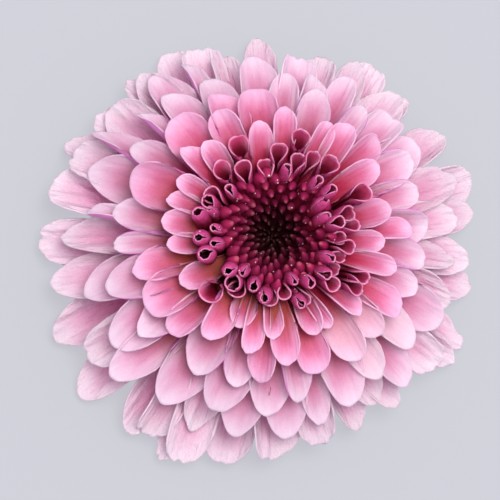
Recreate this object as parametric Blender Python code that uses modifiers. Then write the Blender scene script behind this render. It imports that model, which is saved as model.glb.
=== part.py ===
# A cut pompon chrysanthemum, lying face up on the stub of its stalk and on its lowest florets.
# Metres, +Z is the head's axis. The origin is the middle of the box, at its bottom.
# Separate closed solids: stalk, receptacle, two bract rows, every floret of the three outer
# whorls, six inner whorls that each share a collar, and the closed buds of the centre.
# Nothing in it moves: a petal has no joint.
import math
import random

import bmesh
import bpy
from mathutils import Matrix, Vector

# Driving dimensions, in metres
MM = 0.001
HEAD_ACROSS = 0.073          # tip to tip, a spray flower's width
PHOTO_ACROSS_PX = 438.0      # the same width read in the picture
PEDUNCLE_R = 0.0024
PEDUNCLE_FLARE_R = 0.0042
PEDUNCLE_TOP_Z = 0.0050
RECEPTACLE_R = 0.0074
FLORET_THICK = 0.0005
CLAW_WIDTH = 0.0010          # a floret's narrow foot
SIDE_GAP = 0.0006            # least clearance between neighbours of one whorl
BRACT_THICK = 0.0005
BRACTS_IN_ROW = 12
BUD_COUNT = 156
BUD_REACH = 0.0100           # radius of the outermost bud tips
GOLDEN_ANGLE = math.radians(137.508)

# How the picture was taken: the lens leans off the head's axis towards the lower left
LENS_TILT = math.radians(14.0)
LENS_AZIMUTH = math.radians(225.0)
LENS_DISTANCE = 0.45
PX_PER_M = PHOTO_ACROSS_PX / HEAD_ACROSS
AXIS_PX = (254.5, 251.5)     # where the head's axis meets the height of the lowest tips
AXIS_Z = 0.004

# Whorl profiles, outermost first: radius and height in mm along the middle of a floret, foot first
WHORLS = (
    ((7.8, 8.0), (13, 8.7), (20, 8.3), (28, 6.2), (34, 3.8), (38, 2.2), (43, 1.1)),
    ((7.6, 9.4), (13, 10.7), (20, 10.8), (28, 8.7), (34, 5.9), (38, 4.1), (43, 3.1)),
    ((7.4, 10.7), (12, 12.6), (19, 13.4), (26, 11.9), (32, 8.6), (36, 6.6), (41, 5.4)),
    ((7.0, 11.8), (11.5, 14.4), (18, 15.8), (25, 14.8), (30, 12.0), (34, 9.3), (37, 8.0)),
    ((6.4, 12.8), (10.5, 15.8), (16, 18.0), (22, 17.9), (27, 15.7), (31, 12.9), (34, 11.0)),
    ((5.8, 13.7), (9.5, 17.0), (14.5, 19.8), (20, 20.5), (25, 18.9), (28.5, 16.8), (31, 15.0)),
    ((5.1, 14.5), (8.6, 18.1), (12.8, 21.0), (17.5, 22.6), (22, 22.2), (25.5, 20.4), (28, 19.0)),
    ((4.4, 15.3), (7.4, 19.0), (10.9, 22.3), (14.5, 24.5), (18.5, 25.2), (21.5, 24.6), (24, 23.6)),
    ((3.5, 16.0), (5.5, 19.4), (8.3, 22.6), (11.3, 25.2), (14.6, 27.0), (17, 27.4), (20, 27.2)),
)
WHORL_LETTERS = "abcdefghi"
SEPARATE_WHORLS = 3
SEPARATE_MOST = 15           # florets in each whorl of separate pieces
LEAST_SPACING = math.radians(10.5)
WHORL_REACH = (0, 0, 0, 30.4, 27.9, 24.9, 21.7, 17.2, 0)   # least tip radius, mm
WHORL_FILL = 0.76            # a joined whorl's florets, as a share of their seen width

# Radius and height in mm: the dome of floret tips, the buds' tips, the cushion under the buds
DOME = ((11, 26.0), (14, 26.3), (19, 24.5), (24.5, 20), (28.5, 14.5), (32, 9), (36, 4), (44, 1.5))
BUD_TIPS = ((0, 17.8), (2, 18.9), (4, 21.0), (6, 23.1), (8, 24.9), (10.4, 26.2))
CUSHION = ((0, 17.0), (2.0, 17.8), (3.8, 19.2), (5.6, 21.0), (7.3, 22.6), (6.9, 22.2), (5.0, 20.3),
           (3.3, 18.0), (2.5, 16.1), (0, 16.1))

# A floret's half width from foot to tip, as a share of its greatest half width
OUTLINE = ((0.0, 0.0), (0.28, 0.32), (0.7, 0.95), (0.92, 0.86), (1.0, 0.36))
CUP = 0.2                    # how far its sides stand up, as a share of its half width

TIPS_PX = (
    (257, 40, 38), (251, 60, 36), (253, 91, 36), (257, 121, 24), (261, 158, 16), (285, 74, 26),
    (284, 107, 20), (281, 141, 16), (297, 60, 32), (313, 77, 28), (317, 91, 32), (302, 128, 18),
    (302, 152, 14), (324, 58, 32), (349, 80, 26), (327, 123, 18), (315, 149, 14), (358, 63, 30),
    (374, 68, 34), (362, 109, 20), (349, 127, 24), (337, 157, 18), (397, 97, 42), (407, 97, 34),
    (393, 120, 32), (377, 138, 26), (376, 165, 24), (416, 146, 40), (409, 160, 34), (444, 135, 36),
    (456, 177, 42), (470, 178, 40), (418, 192, 28), (373, 190, 18), (355, 208, 14), (391, 209, 26),
    (427, 225, 34), (410, 232, 20), (456, 219, 34), (472, 212, 38), (362, 229, 13), (385, 243, 20),
    (348, 236, 12), (453, 262, 30), (424, 262, 26), (467, 262, 40), (394, 270, 18), (358, 248, 13),
    (371, 282, 12), (346, 262, 12), (416, 290, 30), (447, 302, 38), (472, 287, 40), (363, 295, 12),
    (338, 275, 13), (398, 313, 28), (440, 322, 42), (357, 317, 20), (337, 293, 14), (379, 335, 28),
    (411, 345, 34), (464, 345, 42), (358, 360, 32), (377, 376, 32), (406, 384, 36), (438, 364, 36),
    (455, 363, 30), (317, 335, 20), (330, 328, 12), (317, 374, 30), (352, 405, 42), (378, 404, 36),
    (394, 406, 32), (287, 366, 26), (297, 401, 26), (321, 424, 26), (361, 430, 36), (321, 446, 34),
    (270, 340, 18), (261, 382, 26), (266, 415, 44), (287, 439, 42), (270, 459, 46), (247, 353, 20),
    (234, 387, 32), (214, 410, 44), (234, 437, 44), (222, 463, 44), (237, 328, 24), (204, 338, 28),
    (193, 375, 40), (192, 433, 42), (178, 463, 40), (161, 460, 28), (233, 300, 18), (267, 307, 15),
    (283, 303, 13), (305, 308, 13), (205, 302, 26), (170, 333, 26), (161, 402, 46), (127, 432, 42),
    (144, 434, 30), (180, 284, 22), (146, 308, 38), (112, 376, 38), (140, 335, 38), (112, 345, 44),
    (87, 358, 40), (78, 397, 42), (134, 273, 32), (105, 289, 42), (85, 294, 40), (51, 285, 44),
    (53, 338, 44), (166, 246, 20), (114, 246, 18), (62, 240, 42), (39, 241, 42), (161, 221, 24),
    (112, 212, 32), (88, 216, 16), (166, 200, 18), (131, 178, 42), (88, 172, 48), (51, 190, 46),
    (176, 180, 18), (131, 148, 28), (92, 135, 38), (71, 155, 40), (65, 143, 36), (180, 151, 24),
    (137, 116, 26), (172, 120, 42), (108, 106, 44), (96, 115, 40), (127, 81, 32), (203, 143, 22),
    (164, 95, 34), (152, 75, 40), (140, 76, 40), (216, 112, 28), (215, 94, 44), (207, 79, 36),
    (185, 63, 18), (168, 52, 40), (195, 51, 36), (220, 54, 26), (234, 135, 24), (240, 159, 16),
    (214, 162, 20), (205, 189, 16),
)

for old in list(bpy.data.objects):
    bpy.data.objects.remove(old, do_unlink=True)

head = bpy.data.collections.new("pompon_chrysanthemum")
bpy.context.scene.collection.children.link(head)
makers = bpy.data.collections.new("whorl_makers")
makers.hide_render = True
bpy.context.scene.collection.children.link(makers)

# Everything hangs on one empty, so the whole head can be centred
middle = bpy.data.objects.new("head_middle", None)
head.objects.link(middle)


def material(name, colour, roughness):
    made = bpy.data.materials.new(name)
    made.use_nodes = True
    shader = made.node_tree.nodes["Principled BSDF"]
    shader.inputs["Base Color"].default_value = (*colour, 1.0)
    shader.inputs["Roughness"].default_value = roughness
    return made


OUTER_PINK = material("floret_outer_pink", (0.72, 0.43, 0.56), 0.55)
MIDDLE_PINK = material("floret_middle_pink", (0.68, 0.26, 0.44), 0.5)
CENTRE_MAGENTA = material("bud_magenta", (0.35, 0.03, 0.11), 0.45)
BRACT_GREEN = material("bract_green", (0.16, 0.24, 0.07), 0.6)
STALK_GREEN = material("stalk_green", (0.22, 0.30, 0.10), 0.6)
RECEPTACLE_PALE = material("receptacle_pale_green", (0.55, 0.60, 0.32), 0.7)


def piece(name, shape, look, home):
    """An object made from a bmesh, hung on the middle of the head."""
    mesh = bpy.data.meshes.new(name)
    shape.to_mesh(mesh)
    shape.free()
    mesh.materials.append(look)
    made = bpy.data.objects.new(name, mesh)
    made.parent = middle
    home.objects.link(made)
    return made


def shell(made, thick, offset=0.0):
    solid = made.modifiers.new("thickness", "SOLIDIFY")
    solid.thickness = thick
    solid.offset = offset
    solid.use_even_offset = False


def turned(name, outline, sides, look, closed=False):
    """A solid of revolution from an outline in mm that runs down its outer side."""
    shape = bmesh.new()
    spots = [shape.verts.new((radius * MM, 0, z * MM)) for radius, z in outline]
    for upper, lower in zip(spots, spots[1:]):
        shape.edges.new((upper, lower))
    if closed:
        shape.edges.new((spots[-1], spots[0]))
    made = piece(name, shape, look, head)
    spin = made.modifiers.new("turned", "SCREW")
    spin.steps = sides
    spin.render_steps = sides
    spin.use_merge_vertices = True
    spin.merge_threshold = 0.00001
    return made


def height_at(profile, radius):
    """Height of a profile at a radius, both in mm."""
    if radius <= profile[0][0]:
        return profile[0][1]
    for (r0, z0), (r1, z1) in zip(profile, profile[1:]):
        if radius <= r1:
            return z0 + (z1 - z0) * (radius - r0) / (r1 - r0)
    return profile[-1][1]


# From the picture to the flower: the ray through a picture point is cut by a whorl's surface
lens = Vector((
    math.sin(LENS_TILT) * math.cos(LENS_AZIMUTH),
    math.sin(LENS_TILT) * math.sin(LENS_AZIMUTH),
    math.cos(LENS_TILT),
))
right = (-lens).cross(Vector((0, 1, 0))).normalized()
up = right.cross(-lens)
aim = Vector((0, 0, AXIS_Z))
aim -= right * ((AXIS_PX[0] - 250) / PX_PER_M)
aim += up * ((AXIS_PX[1] - 250) / PX_PER_M)
eye = aim + lens * LENS_DISTANCE


def on_whorl(x_px, y_px, profile):
    """Azimuth and radius (mm) where the ray through a picture point meets a whorl."""
    ray = -lens * LENS_DISTANCE
    ray += right * ((x_px - 250) / PX_PER_M)
    ray += up * ((250 - y_px) / PX_PER_M)
    z = 0.012
    for _ in range(60):
        spot = eye + ray * ((z - eye.z) / ray.z)
        radius = math.hypot(spot.x, spot.y) / MM
        z = 0.5 * z + 0.5 * height_at(profile, radius) * MM
    return math.atan2(spot.y, spot.x), radius


def apart(a, b):
    return abs((a - b + math.pi) % (2 * math.pi) - math.pi)


# The longest florets go in the lowest whorls, well spaced, and the rest by their reach
ranked = []
for x_px, y_px, w_px in TIPS_PX:
    azimuth, radius = on_whorl(x_px, y_px, DOME)
    ranked.append((radius, azimuth, x_px, y_px, w_px))
ranked.sort(reverse=True)
members = [[] for _ in WHORLS]
for radius, azimuth, x_px, y_px, w_px in ranked:
    chosen = None
    for level in range(SEPARATE_WHORLS):
        crowd = [m for m in members[level] if apart(m[0], azimuth) < LEAST_SPACING]
        if len(members[level]) < SEPARATE_MOST and not crowd and chosen is None:
            chosen = level
    if chosen is None:
        chosen = SEPARATE_WHORLS
        while radius < WHORL_REACH[chosen]:
            chosen += 1
    azimuth, radius = on_whorl(x_px, y_px, WHORLS[chosen])
    members[chosen].append((azimuth, radius, w_px / PX_PER_M / MM))


def floret(name, profile, azimuth, reach, width, look, home):
    """A thin blade with raised sides that follows a whorl profile out to its reach (mm)."""
    shape = bmesh.new()
    last = len(OUTLINE) - 1
    bmesh.ops.create_grid(shape, x_segments=last, y_segments=2, size=1.0)
    for spot in shape.verts:
        share, wide = OUTLINE[round((spot.co.x + 1) / 2 * last)]
        across = round(spot.co.y)
        start = profile[0][0]
        radius = start + (reach - start) * share
        rise = height_at(profile, radius + 0.6) - height_at(profile, radius - 0.6)
        slope = math.atan2(rise, 1.2)
        if share == 0:
            slope = math.atan2(profile[1][1] - profile[0][1], profile[1][0] - profile[0][0])
        half = max(CLAW_WIDTH / MM, width * wide) / 2
        lift = abs(across) * half * CUP
        spot.co = Vector((
            radius - math.sin(slope) * lift,
            across * half,
            height_at(profile, radius) + math.cos(slope) * lift,
        )) * MM
    made = piece(name, shape, look, home)
    made.rotation_euler.z = azimuth
    shell(made, FLORET_THICK)
    return made


def joined(base, pieces):
    """Makes one solid of a base and the pieces in a collection."""
    union = base.modifiers.new("one_body", "BOOLEAN")
    union.operation = "UNION"
    union.solver = "EXACT"
    union.operand_type = "COLLECTION"
    union.collection = pieces


# Stalk stub, cut square, and the domed receptacle with a step for each whorl's collar
stalk = PEDUNCLE_R / MM
flare = PEDUNCLE_FLARE_R / MM
top = PEDUNCLE_TOP_Z / MM
turned("peduncle", ((0, top), (flare, top), (stalk + 0.4, 3.8), (stalk, 2.6), (stalk, 0), (0, 0)),
       18, STALK_GREEN)
broad = RECEPTACLE_R / MM
turned("receptacle", (
    (0, 15.6), (1.2, 15.6), (2.7, 15.4), (3.5, 15.1), (3.6, 14.7), (4.2, 14.3), (4.3, 13.9),
    (4.9, 13.5), (5.0, 13.1), (5.5, 12.6), (5.6, 12.1), (6.15, 11.6), (6.3, 11.0), (7.0, 10.6),
    (7.25, 9.4), (broad, 7.8), (6.9, 6.6), (5.2, 5.3), (0, 5.3),
), 24, RECEPTACLE_PALE)


def bract_row(name, outline, tip, turn):
    """A cup in mm from an outline, foot first, whose rim runs out to pointed bracts."""
    shape = bmesh.new()
    sides = BRACTS_IN_ROW * 3
    last = len(outline) - 1
    bmesh.ops.create_grid(shape, x_segments=last, y_segments=sides, size=1.0)
    for spot in shape.verts:
        step = round((spot.co.x + 1) / 2 * last)
        place = round((spot.co.y + 1) / 2 * sides)
        radius, z = tip if step == last and place % 3 == 0 else outline[step]
        around = turn + 2 * math.pi * place / sides
        spot.co = Vector((radius * math.cos(around), radius * math.sin(around), z)) * MM
    bmesh.ops.remove_doubles(shape, verts=shape.verts, dist=0.00001)
    made = piece(name, shape, BRACT_GREEN, head)
    shell(made, BRACT_THICK, -1.0)


bract_row("bract_row_upper", ((6.0, 5.35), (7.3, 5.95), (8.2, 6.7), (8.7, 6.9)), (10.4, 6.9), 0.0)
bract_row("bract_row_lower", ((5.0, 4.3), (6.9, 5.0), (8.0, 5.8), (8.4, 6.0)), (9.6, 5.9),
          math.pi / BRACTS_IN_ROW)

# Florets of the outer whorls, each a piece of its own and clear of its neighbours
for level in range(SEPARATE_WHORLS):
    crowd = sorted(members[level])
    for i, (azimuth, reach, width) in enumerate(crowd):
        nearest = min(apart(azimuth, m[0]) for m in crowd if m[0] != azimuth)
        room = 2 * math.sin(nearest / 2) * reach * 0.78 - SIDE_GAP / MM
        name = f"outer_floret_{WHORL_LETTERS[level]}{i + 1:02d}"
        floret(name, WHORLS[level], azimuth, reach, min(width * 0.92, room), OUTER_PINK, head)

# Inner whorls: the florets of one whorl stand on a shared collar and are one solid with it
for level in range(SEPARATE_WHORLS, len(WHORLS)):
    name = f"whorl_{WHORL_LETTERS[level]}"
    r, z = WHORLS[level][0]
    section = ((r + 0.35, z + 0.28), (r + 0.35, z - 0.36), (r - 0.5, z - 0.36), (r - 0.5, z + 0.28))
    collar = turned(name, section, 24, MIDDLE_PINK, closed=True)
    pieces = bpy.data.collections.new(name + "_florets")
    makers.children.link(pieces)
    for i, (azimuth, reach, width) in enumerate(sorted(members[level])):
        floret(f"{name}_{i + 1:02d}", WHORLS[level], azimuth, reach, width * WHORL_FILL,
               MIDDLE_PINK, pieces)
    joined(collar, pieces)

# Centre buds: closed florets packed on a cushion, smallest in the sunk eye
cushion = turned("centre_buds", CUSHION, 18, CENTRE_MAGENTA)
bud_pieces = bpy.data.collections.new("centre_bud_pieces")
makers.children.link(bud_pieces)
dice = random.Random(7)
for k in range(BUD_COUNT):
    reach = BUD_REACH / MM * ((k + 0.7) / BUD_COUNT) ** (1 / 1.4)
    turn = k * GOLDEN_ANGLE
    thick = 0.30 + 0.040 * reach
    foot_r = reach * 0.66 + 0.1
    foot_z = max(height_at(BUD_TIPS, foot_r) - 1.8, 16.4) + dice.uniform(-0.05, 0.1)
    tip_z = height_at(BUD_TIPS, reach) + dice.uniform(-0.3, 0.3)
    foot = Vector((foot_r, 0, foot_z)) * MM
    along = Vector((reach, 0, tip_z)) * MM - foot
    shape = bmesh.new()
    bmesh.ops.create_cone(
        shape, cap_ends=True, segments=3, radius1=thick * 0.9 * MM, radius2=thick * 0.7 * MM,
        depth=along.length,
        matrix=Matrix.Translation(foot + along / 2) @ along.to_track_quat("Z", "Y").to_matrix().to_4x4(),
    )
    made = piece(f"bud_{k + 1:03d}", shape, CENTRE_MAGENTA, bud_pieces)
    made.rotation_euler.z = turn + dice.uniform(-0.02, 0.02)
joined(cushion, bud_pieces)

# The stalk stands a little beside the box's middle, as no head is even all round
bpy.context.view_layer.update()
corners = []
for made in head.objects:
    if made.name.startswith("outer_floret"):
        corners += [made.matrix_world @ v.co for v in made.data.vertices]
middle.location.x = -(min(c.x for c in corners) + max(c.x for c in corners)) / 2
middle.location.y = -(min(c.y for c in corners) + max(c.y for c in corners)) / 2
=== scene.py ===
import math
import random

import bmesh
import bpy
from mathutils import Matrix, Vector


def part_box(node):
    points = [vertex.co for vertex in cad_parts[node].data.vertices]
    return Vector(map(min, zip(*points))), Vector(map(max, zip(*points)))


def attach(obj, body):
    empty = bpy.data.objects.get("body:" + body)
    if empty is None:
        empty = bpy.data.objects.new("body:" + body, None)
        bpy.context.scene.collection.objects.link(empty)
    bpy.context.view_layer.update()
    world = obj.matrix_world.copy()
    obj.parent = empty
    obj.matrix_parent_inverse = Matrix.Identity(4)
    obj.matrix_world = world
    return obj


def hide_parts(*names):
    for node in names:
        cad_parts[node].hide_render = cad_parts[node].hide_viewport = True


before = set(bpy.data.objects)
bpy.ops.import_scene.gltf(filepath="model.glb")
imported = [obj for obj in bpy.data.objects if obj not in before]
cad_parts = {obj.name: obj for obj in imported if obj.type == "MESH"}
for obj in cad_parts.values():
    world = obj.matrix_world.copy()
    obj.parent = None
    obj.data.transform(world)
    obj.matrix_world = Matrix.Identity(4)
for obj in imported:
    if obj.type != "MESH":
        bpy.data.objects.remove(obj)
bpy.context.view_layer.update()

# The view: a long lens that leans off the head's axis towards the lower left of the face.
# The axis is the stalk's; it meets the height of the lowest tips near the picture's middle.
MM = 0.001
HEAD_ACROSS = 0.073
PHOTO_ACROSS_PX = 438.0
LENS_TILT = math.radians(14.0)
LENS_AZIMUTH = math.radians(225.0)
LENS_DISTANCE = 0.45
AXIS_PX = (254.5, 251.5)
AXIS_Z = 0.004
PICTURE_PX = 500
SENSOR_MM = 36.0

px_per_m = PHOTO_ACROSS_PX / HEAD_ACROSS
stalk_low, stalk_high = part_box("peduncle")
axis = (stalk_low + stalk_high) / 2
axis.z = 0
lens = Vector((
    math.sin(LENS_TILT) * math.cos(LENS_AZIMUTH),
    math.sin(LENS_TILT) * math.sin(LENS_AZIMUTH),
    math.cos(LENS_TILT),
))
right = (-lens).cross(Vector((0, 1, 0))).normalized()
up = right.cross(-lens)
aim = Vector((0, 0, AXIS_Z))
aim -= right * ((AXIS_PX[0] - PICTURE_PX / 2) / px_per_m)
aim += up * ((AXIS_PX[1] - PICTURE_PX / 2) / px_per_m)
eye = aim + lens * LENS_DISTANCE

camera_data = bpy.data.cameras.new("camera")
camera_data.sensor_width = SENSOR_MM
camera_data.lens = SENSOR_MM * px_per_m * LENS_DISTANCE / PICTURE_PX
camera_data.clip_start = 0.01
camera = bpy.data.objects.new("camera", camera_data)
turned = Matrix((right, up, lens)).transposed().to_4x4()
camera.matrix_world = Matrix.Translation(eye + axis) @ turned
bpy.context.scene.collection.objects.link(camera)
bpy.context.scene.camera = camera
bpy.context.scene.view_settings.view_transform = "Standard"


# The floor and the light: a pale grey table that glows a little, so that its grey is even, under
# a broad soft lamp above the head, with a weak one from the right and a pale surround.
FLOOR_GLOW_COLOUR = (0.66, 0.665, 0.72)
FLOOR_GLOW = 0.715
FLOOR_PAINT = (0.12, 0.121, 0.131)
FLOOR_SPECKLE = (0.10, 0.10, 0.11)
FLOOR_HALF = 1.5
LAMP_AIM = Vector((0, 0, 0.015))
SURROUND_COLOUR = (0.80, 0.82, 0.90)
SURROUND_STRENGTH = 0.92


class Value:
    """A number that flows between shader nodes, so sums can be written as sums."""

    def __init__(self, look, socket):
        self.look = look
        self.socket = socket

    def _math(self, operation, first, second):
        made = self.look.node("ShaderNodeMath", {"operation": operation}, {0: first, 1: second})
        return made["Value"]

    def __add__(self, other):
        return self._math("ADD", self, other)

    __radd__ = __add__

    def __sub__(self, other):
        return self._math("SUBTRACT", self, other)

    def __rsub__(self, other):
        return self._math("SUBTRACT", other, self)

    def __mul__(self, other):
        return self._math("MULTIPLY", self, other)

    __rmul__ = __mul__

    def __abs__(self):
        return self._math("ABSOLUTE", self, 0.0)

    def __gt__(self, other):
        return self._math("GREATER_THAN", self, other)


class Look:
    """A material: a Principled shader, its fixed numbers, and the nodes that feed it."""

    def __init__(self, name, **fixed):
        self.material = bpy.data.materials.new(name)
        self.material.use_nodes = True
        self.tree = self.material.node_tree
        self.shader = self.tree.nodes["Principled BSDF"]
        for socket, value in fixed.items():
            self.shader.inputs[socket.replace("_", " ")].default_value = value

    def node(self, kind, settings, sockets):
        """Adds a node: its settings first, then the value or link of each socket."""
        made = self.tree.nodes.new(kind)
        for key, value in settings.items():
            setattr(made, key, value)
        for key, value in sockets.items():
            self.put(made.inputs[key], value)
        return {out.name: Value(self, out) for out in made.outputs if out.enabled}

    def put(self, socket, value):
        """Gives a socket a link, a colour or a number."""
        if isinstance(value, Value):
            self.tree.links.new(value.socket, socket)
        elif isinstance(value, tuple) and len(value) == 3 and socket.type == "RGBA":
            socket.default_value = (*value, 1.0)
        else:
            socket.default_value = value

    def feed(self, **sockets):
        """Feeds the shader's own sockets with what changes over the surface."""
        for socket, value in sockets.items():
            self.put(self.shader.inputs[socket.replace("_", " ")], value)

    def mix(self, share, first, second):
        """A colour between two, by a share from 0 to 1."""
        made = self.tree.nodes.new("ShaderNodeMix")
        made.data_type = "RGBA"
        self.put(made.inputs[0], share)
        self.put(made.inputs[6], first)
        self.put(made.inputs[7], second)
        return Value(self, made.outputs[2])

    def tint(self, colour, shade):
        """A colour made lighter or darker by a number near 1."""
        sockets = {0: colour, "Scale": shade}
        return self.node("ShaderNodeVectorMath", {"operation": "SCALE"}, sockets)["Vector"]

    def ramp(self, value, low, high):
        """0 below low, 1 above high, smooth between."""
        sockets = {"Value": value, "From Min": low, "From Max": high}
        smooth_step = {"interpolation_type": "SMOOTHSTEP"}
        return self.node("ShaderNodeMapRange", smooth_step, sockets)["Result"]

    def noise(self, where, scale, detail=2.0, rough=0.5):
        """Cloudy noise about 0.5; where times scale counts its clouds."""
        sockets = {"Vector": where, "Scale": scale, "Detail": detail, "Roughness": rough}
        return self.node("ShaderNodeTexNoise", {}, sockets)["Fac"]

    def bump(self, height, strength, depth):
        """A surface normal for a relief of a depth in metres."""
        sockets = {"Height": height, "Strength": strength, "Distance": depth}
        return self.node("ShaderNodeBump", {}, sockets)["Normal"]

    def place(self):
        """Where a point of the piece is, in metres."""
        return self.node("ShaderNodeTexCoord", {}, {})["Object"]

    def combined(self, x, y, z=0.0):
        """A place in a pattern, made of three numbers."""
        return self.node("ShaderNodeCombineXYZ", {}, {"X": x, "Y": y, "Z": z})["Vector"]


floor_look = Look("floor_grey", Roughness=0.9, Specular_IOR_Level=0.1,
                  Emission_Color=(*FLOOR_GLOW_COLOUR, 1.0), Emission_Strength=FLOOR_GLOW)
speckle = floor_look.noise(floor_look.place(), 60.0)
floor_look.feed(Base_Color=floor_look.mix(speckle * 0.06, FLOOR_PAINT, FLOOR_SPECKLE))
shape = bmesh.new()
bmesh.ops.create_grid(shape, x_segments=1, y_segments=1, size=FLOOR_HALF)
floor_mesh = bpy.data.meshes.new("floor")
shape.to_mesh(floor_mesh)
shape.free()
floor_mesh.materials.append(floor_look.material)
floor = bpy.data.objects.new("floor", floor_mesh)
bpy.context.scene.collection.objects.link(floor)


def lamp(name, place, size, power, colour):
    """A round soft lamp that is turned to the head."""
    data = bpy.data.lights.new(name, "AREA")
    data.shape = "DISK"
    data.size = size
    data.energy = power
    data.color = colour
    made = bpy.data.objects.new(name, data)
    made.location = place
    made.rotation_euler = (Vector(place) - LAMP_AIM).to_track_quat("Z", "Y").to_euler()
    bpy.context.scene.collection.objects.link(made)


lamp("lamp_over_lens", (0.03, 0.04, 0.80), size=0.4, power=4.6, colour=(1.0, 0.985, 0.97))
lamp("lamp_right", (0.70, 0.40, 0.55), size=0.5, power=0.5, colour=(1.0, 0.99, 1.0))
world = bpy.data.worlds.new("surround")
world.use_nodes = True
surround = world.node_tree.nodes["Background"].inputs
surround["Color"].default_value = (*SURROUND_COLOUR, 1.0)
surround["Strength"].default_value = SURROUND_STRENGTH
bpy.context.scene.world = world


# Where the florets stand. Each listed tip, in picture px, is put on a whorl; the longest go
# in the lowest whorls, as the florets of a real head open from the outside in.
# A whorl is the radius and height in mm along the middle of its florets, foot first.
WHORLS = (
    ((7.8, 8.0), (13, 8.7), (20, 8.3), (28, 6.2), (34, 3.8), (38, 2.2), (43, 1.1)),
    ((7.6, 9.4), (13, 10.7), (20, 10.8), (28, 8.7), (34, 5.9), (38, 4.1), (43, 3.1)),
    ((7.4, 10.7), (12, 12.6), (19, 13.4), (26, 11.9), (32, 8.6), (36, 6.6), (41, 5.4)),
    ((7.0, 11.8), (11.5, 14.4), (18, 15.8), (25, 14.8), (30, 12.0), (34, 9.3), (37, 8.0)),
    ((6.4, 12.8), (10.5, 15.8), (16, 18.0), (22, 17.9), (27, 15.7), (31, 12.9), (34, 11.0)),
    ((5.8, 13.7), (9.5, 17.0), (14.5, 19.8), (20, 20.5), (25, 18.9), (28.5, 16.8), (31, 15.0)),
    ((5.1, 14.5), (8.6, 18.1), (12.8, 21.0), (17.5, 22.6), (22, 22.2), (25.5, 20.4), (28, 19.0)),
    ((4.4, 15.3), (7.4, 19.0), (10.9, 22.3), (14.5, 24.5), (18.5, 25.2), (21.5, 24.6), (24, 23.6)),
    ((3.5, 16.0), (5.5, 19.4), (8.3, 22.6), (11.3, 25.2), (14.6, 27.0), (17, 27.4), (20, 27.2)),
)
WHORL_LETTERS = "abcdefghi"
# The three lowest whorls hold florets that stand well apart. The others go by the radius of
# their tips: the least one in mm for each whorl from the fourth to the last but one.
SEPARATE_WHORLS = 3
SEPARATE_MOST = 15
LEAST_SPACING = math.radians(10.5)
LEAST_TIP_RADII = (30.4, 27.9, 24.9, 21.7, 17.2)
# The dome that all tips lie near, as radius and height in mm: it ranks them.
DOME = ((11, 26.0), (14, 26.3), (19, 24.5), (24.5, 20), (28.5, 14.5), (32, 9), (36, 4), (44, 1.5))

# Floret tips, read one by one: picture x, picture y, seen width, all in picture px
TIPS_PX = (
    (257, 40, 32), (251, 60, 36), (253, 91, 36), (257, 121, 24), (261, 158, 16), (285, 74, 26),
    (284, 107, 20), (281, 141, 16), (297, 60, 32), (313, 77, 28), (317, 91, 32), (302, 128, 18),
    (302, 152, 14), (324, 58, 32), (349, 80, 26), (327, 123, 18), (315, 149, 14), (358, 63, 30),
    (374, 68, 34), (362, 109, 20), (349, 127, 24), (337, 157, 18), (397, 97, 42), (407, 97, 34),
    (393, 120, 32), (377, 138, 26), (376, 165, 24), (416, 146, 40), (409, 160, 34), (444, 135, 36),
    (456, 177, 42), (470, 178, 40), (418, 192, 28), (373, 190, 18), (355, 208, 14), (391, 209, 26),
    (427, 225, 34), (410, 232, 20), (456, 219, 34), (472, 212, 38), (362, 229, 13), (385, 243, 20),
    (348, 236, 12), (453, 262, 30), (424, 262, 26), (467, 262, 40), (394, 270, 18), (358, 248, 13),
    (371, 282, 12), (346, 262, 12), (416, 290, 30), (447, 302, 38), (472, 287, 40), (363, 295, 12),
    (338, 275, 13), (398, 313, 28), (440, 322, 42), (357, 317, 20), (337, 293, 14), (379, 335, 28),
    (411, 345, 34), (464, 345, 42), (358, 360, 32), (377, 376, 32), (406, 384, 36), (438, 364, 36),
    (455, 363, 30), (317, 335, 20), (330, 328, 12), (317, 374, 30), (352, 405, 42), (378, 404, 36),
    (394, 406, 32), (287, 366, 26), (297, 401, 26), (321, 424, 26), (361, 430, 36), (321, 446, 34),
    (270, 340, 18), (261, 382, 26), (266, 415, 44), (287, 439, 42), (270, 459, 46), (247, 353, 20),
    (234, 387, 32), (214, 410, 44), (234, 437, 44), (222, 463, 44), (237, 328, 24), (204, 338, 28),
    (193, 375, 40), (192, 433, 42), (178, 463, 40), (161, 460, 28), (233, 300, 18), (267, 307, 15),
    (283, 303, 13), (305, 308, 13), (205, 302, 26), (170, 333, 26), (161, 402, 46), (127, 432, 42),
    (144, 434, 30), (180, 284, 22), (146, 308, 38), (112, 376, 38), (140, 335, 38), (112, 345, 44),
    (87, 358, 40), (78, 397, 42), (134, 273, 32), (105, 289, 42), (85, 294, 40), (51, 285, 44),
    (53, 338, 44), (166, 246, 20), (114, 246, 18), (62, 240, 42), (39, 241, 42), (161, 221, 24),
    (112, 212, 32), (88, 216, 16), (166, 200, 18), (131, 178, 42), (88, 172, 48), (51, 190, 46),
    (176, 180, 18), (131, 148, 28), (92, 135, 38), (71, 155, 40), (65, 143, 36), (180, 151, 24),
    (137, 116, 26), (172, 120, 42), (108, 106, 44), (96, 115, 40), (127, 81, 32), (203, 143, 22),
    (164, 95, 34), (152, 75, 40), (140, 76, 40), (216, 112, 28), (215, 94, 44), (207, 79, 36),
    (185, 63, 18), (168, 52, 40), (195, 51, 36), (220, 54, 26), (234, 135, 24), (240, 159, 16),
    (214, 162, 20), (205, 189, 16),
)
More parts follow.
